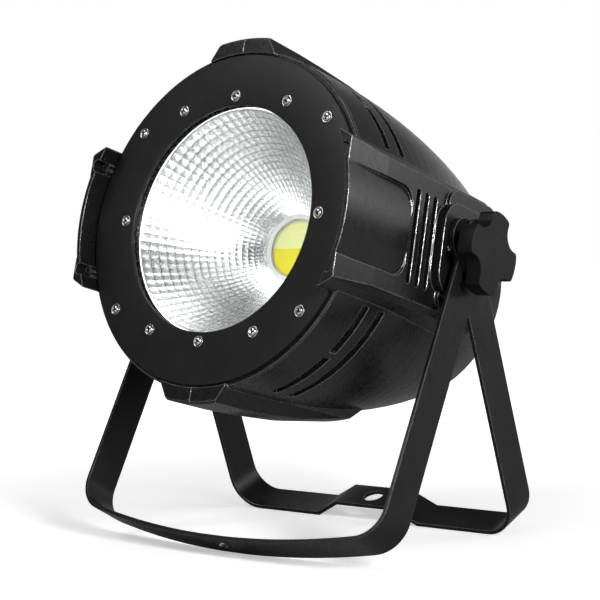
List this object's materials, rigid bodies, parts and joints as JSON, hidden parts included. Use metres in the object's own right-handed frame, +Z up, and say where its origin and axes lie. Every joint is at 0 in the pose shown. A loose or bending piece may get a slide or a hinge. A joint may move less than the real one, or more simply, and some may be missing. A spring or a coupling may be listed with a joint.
{
  "type": "par can light",
  "caption": "Round-bodied LED par light with a faceted reflector, side lips and vents, lobed tilt knobs and a pair of U brackets that stand it on the floor.",
  "frame": {"origin": "on the floor, at the middle of the outer box seen from above", "axes": "+Z up, -Y the way the light faces, +X to the right of a viewer facing the front"},
  "size_m": [0.316, 0.2952, 0.3676],
  "materials": {
    "housing": "satin black moulded shell with a fine grain",
    "ring_paint": "satin black powder coat",
    "yoke_paint": "satin black powder coat over flat steel",
    "knob_plastic": "satin black nylon",
    "friction": "dark fibre friction washer",
    "washer_nylon": "natural nylon washer",
    "zinc": "bright zinc-plated steel",
    "chrome_screw": "bright nickel-plated pan heads",
    "black_screw": "black oxide screws",
    "brass": "turned brass",
    "gasket": "soft black seal",
    "glass": "clear polished glass",
    "reflector": "vacuum-metallised faceted mirror",
    "white_holder": "white heat-resistant plastic",
    "cob_base": "white ceramic substrate",
    "cob_cool": "pale yellow phosphor silicone",
    "cob_warm": "deep yellow phosphor silicone",
    "pad": "grey thermal pad",
    "aluminium": "bare extruded aluminium",
    "sheet_steel": "galvanised sheet steel",
    "fan_plastic": "black glass-filled plastic",
    "supply_case": "folded aluminium case",
    "panel_paint": "fine black powder coat",
    "circuit": "green solder mask",
    "display_black": "black display housing",
    "display_red": "dark red window",
    "switch_body": "dark grey switch body",
    "button_cap": "light grey cap",
    "socket_black": "black socket",
    "latch_metal": "plain steel tab",
    "socket_blue": "blue power inlet",
    "socket_grey": "light grey power outlet",
    "fuse_black": "black fuse holder"
  },
  "bodies": {
    "front_yoke": {"front_yoke": "yoke_paint"},
    "head": {"friction_washer_left": "friction", "friction_washer_right": "friction", "pivot_insert_left": "brass", "pivot_insert_right": "brass", "pad_screws": "chrome_screw", "housing_left": "housing", "housing_right": "housing", "shell_screws": "zinc", "lip_screws": "black_screw", "front_ring": "ring_paint", "ring_screws": "chrome_screw", "lens_gasket": "gasket", "lens_glass": "glass", "reflector": "reflector", "cob_holder": "white_holder", "holder_screws": "zinc", "cob_board": "cob_base", "cob_cool_half": "cob_cool", "cob_warm_half": "cob_warm", "thermal_pad": "pad", "heat_sink": "aluminium", "heat_sink_screws": "zinc", "chassis_plate": "sheet_steel", "fan_frame": "fan_plastic", "fan_screws": "zinc", "driver_bracket": "sheet_steel", "bracket_screws": "zinc", "power_supply": "supply_case", "supply_screws": "zinc", "rear_panel": "panel_paint", "panel_screws": "black_screw", "control_board": "circuit", "board_spacers": "brass", "display_module": "display_black", "display_window": "display_red", "button_switches": "switch_body", "dmx_in_socket": "socket_black", "dmx_out_socket": "socket_black", "power_in_socket": "socket_blue", "power_out_socket": "socket_grey", "socket_screws": "black_screw", "fuse_holder": "fuse_black", "safety_eye": "zinc"},
    "rear_yoke": {"rear_yoke": "yoke_paint", "yoke_washer_left": "washer_nylon", "yoke_washer_right": "washer_nylon"},
    "knob_left": {"knob_left": "knob_plastic", "stud_left": "zinc"},
    "knob_right": {"knob_right": "knob_plastic", "stud_right": "zinc"},
    "fan": {"fan_rotor": "fan_plastic"},
    "menu_button": {"button_menu": "button_cap"},
    "up_button": {"button_up": "button_cap"},
    "down_button": {"button_down": "button_cap"},
    "enter_button": {"button_enter": "button_cap"},
    "latch": {"dmx_latch": "latch_metal"},
    "fuse_cap": {"fuse_cap": "fuse_black"}
  },
  "joints": [
    {"name": "head_tilt", "type": "hinge", "parent": "front_yoke", "child": "head", "pos_m": [0, -0.00314, 0.21027], "axis": [1, 0, 0], "range_deg": [-180, 180]},
    {"name": "rear_yoke_swing", "type": "hinge", "parent": "front_yoke", "child": "rear_yoke", "pos_m": [0, -0.00314, 0.21027], "axis": [1, 0, 0], "range_deg": [-48.9, 110]},
    {"name": "knob_left_turn", "type": "hinge", "parent": "head", "child": "knob_left", "pos_m": [-0.15, -0.00314, 0.21027], "axis": [-1, 0, 0], "range_deg": [-360, 0]},
    {"name": "knob_right_turn", "type": "hinge", "parent": "head", "child": "knob_right", "pos_m": [0.15, -0.00314, 0.21027], "axis": [1, 0, 0], "range_deg": [-360, 0]},
    {"name": "fan_spin", "type": "hinge", "parent": "head", "child": "fan", "pos_m": [0, 0.03267, 0.20095], "axis": [0, -0.9677, 0.2521], "continuous": true},
    {"name": "menu_press", "type": "slide", "parent": "head", "child": "menu_button", "axis": [0, -0.9677, 0.2521], "range_m": [0, 0.001], "stiffness_N_per_m": 300, "springref_m": -0.002},
    {"name": "up_press", "type": "slide", "parent": "head", "child": "up_button", "axis": [0, -0.9677, 0.2521], "range_m": [0, 0.001], "stiffness_N_per_m": 300, "springref_m": -0.002},
    {"name": "down_press", "type": "slide", "parent": "head", "child": "down_button", "axis": [0, -0.9677, 0.2521], "range_m": [0, 0.001], "stiffness_N_per_m": 300, "springref_m": -0.002},
    {"name": "enter_press", "type": "slide", "parent": "head", "child": "enter_button", "axis": [0, -0.9677, 0.2521], "range_m": [0, 0.001], "stiffness_N_per_m": 300, "springref_m": -0.002},
    {"name": "latch_press", "type": "slide", "parent": "head", "child": "latch", "axis": [0, -0.9677, 0.2521], "range_m": [0, 0.0012], "stiffness_N_per_m": 300, "springref_m": -0.002},
    {"name": "fuse_cap_turn", "type": "hinge", "parent": "head", "child": "fuse_cap", "pos_m": [0, 0.11636, 0.15331], "axis": [0, -0.9677, 0.2521], "range_deg": [0, 90]}
  ]
}
